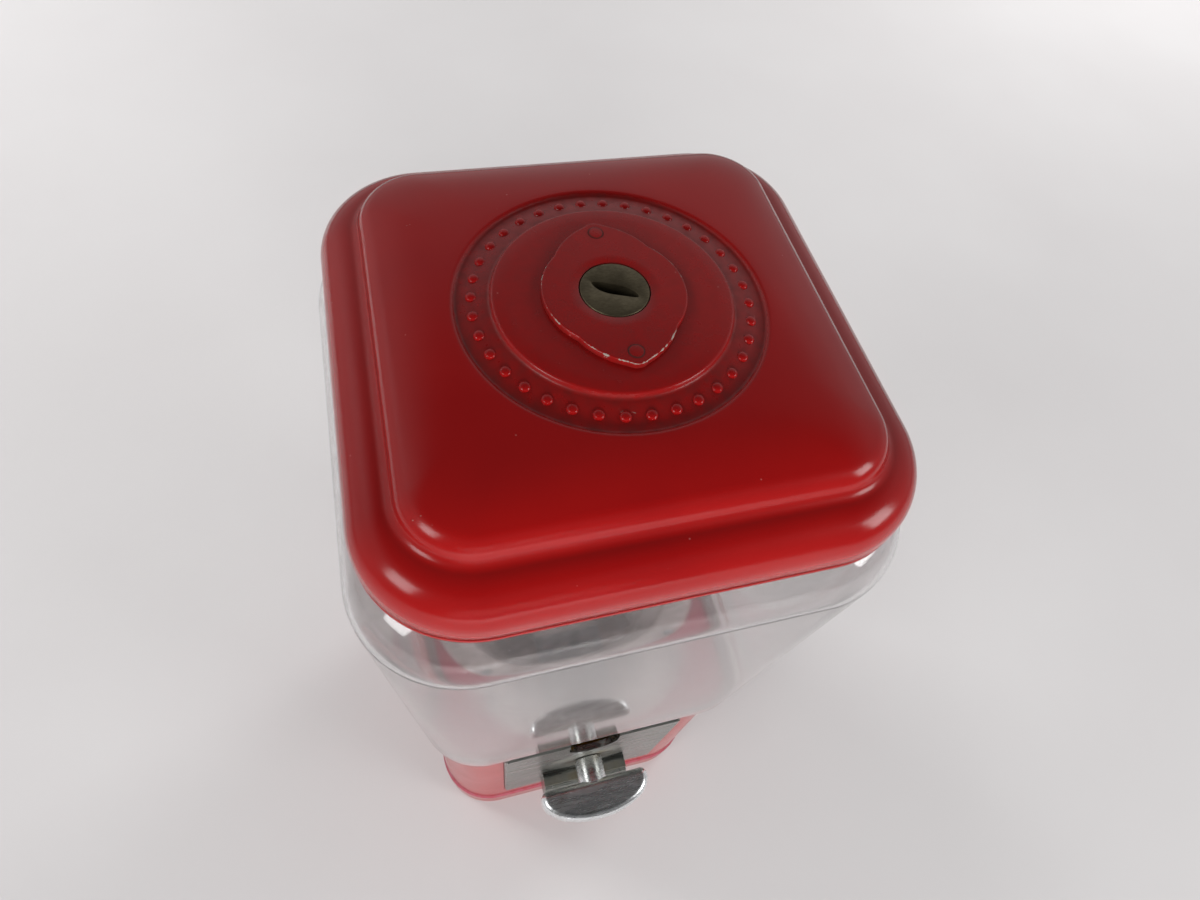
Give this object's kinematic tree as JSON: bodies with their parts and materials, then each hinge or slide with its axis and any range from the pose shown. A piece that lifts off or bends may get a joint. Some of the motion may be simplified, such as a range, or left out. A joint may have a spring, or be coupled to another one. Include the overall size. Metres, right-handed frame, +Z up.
{
  "type": "candy vending machine",
  "caption": "Counter-top candy vending machine: square red cast base, clear globe, lockable stepped lid, chromed coin plate with a wing handle and a geared candy wheel.",
  "frame": {"origin": "middle of the underside of the base, on the surface that it stands on", "axes": "+Z up, -Y out of the coin plate towards the user, +X to the user's right"},
  "size_m": [0.1824, 0.2087, 0.4015],
  "materials": {
    "red_paint": "gloss",
    "chrome": "polished",
    "clear_glass": "clear",
    "cast_aluminium": "satin, scratched",
    "steel": "zinc plated",
    "brass": "turned",
    "lock_bronze": "dull, tarnished",
    "black_rubber": "matte"
  },
  "bodies": {
    "base": {"base_shell": "red_paint", "bottom_plate": "steel", "bottom_screws": "steel", "front_plate": "chrome", "plate_nuts": "steel", "mech_housing": "cast_aluminium", "mech_screws": "steel", "wheel_pan": "cast_aluminium", "hopper_funnel": "cast_aluminium", "deck_screws": "steel", "cutoff_shield": "steel", "shield_rivets": "steel", "centre_rod": "steel", "rod_washer": "steel", "rod_nut": "steel", "wheel_collar": "steel", "drop_chute": "steel", "flap_pin": "steel", "pawl_pin": "steel", "globe_gasket": "black_rubber", "globe": "clear_glass"},
    "lid": {"lid": "red_paint", "lid_gasket": "black_rubber", "lock_plate": "red_paint", "lock_rivets": "steel"},
    "lock": {"lock_cylinder": "lock_bronze", "lock_nut": "steel", "lock_retainer": "steel"},
    "handle": {"handle_wing": "chrome", "handle_neck": "chrome", "handle_shaft": "steel", "coin_carrier": "brass", "ratchet_wheel": "steel", "drive_pinion": "steel"},
    "wheel": {"candy_wheel": "cast_aluminium", "wheel_bush": "brass"},
    "flap": {"chute_flap": "chrome"},
    "pawl": {"ratchet_pawl": "steel"}
  },
  "joints": [
    {"name": "handle_turn", "type": "hinge", "parent": "base", "child": "handle", "pos_m": [0, -0.0845, 0.1], "axis": [0, 1, 0], "continuous": true},
    {"name": "wheel_turn", "type": "hinge", "parent": "base", "child": "wheel", "pos_m": [0, 0, 0.119], "axis": [0, 0, 1], "continuous": true},
    {"name": "flap_swing", "type": "hinge", "parent": "base", "child": "flap", "pos_m": [0, -0.0916, 0.0695], "axis": [-1, 0, 0], "range_deg": [0, 55]},
    {"name": "lid_lift", "type": "slide", "parent": "base", "child": "lid", "axis": [0, 0, 1], "range_m": [0, 0.08]},
    {"name": "lock_turn", "type": "hinge", "parent": "lid", "child": "lock", "pos_m": [0, 0, 0.39], "axis": [0, 0, 1], "continuous": true},
    {"name": "pawl_swing", "type": "hinge", "parent": "base", "child": "pawl", "pos_m": [-0.026, -0.074, 0.1195], "axis": [0, -1, 0], "range_deg": [0, 12]}
  ],
  "couplings": [
    {"joint": "wheel_turn", "follows": "handle_turn", "ratio": 0.16667}
  ]
}
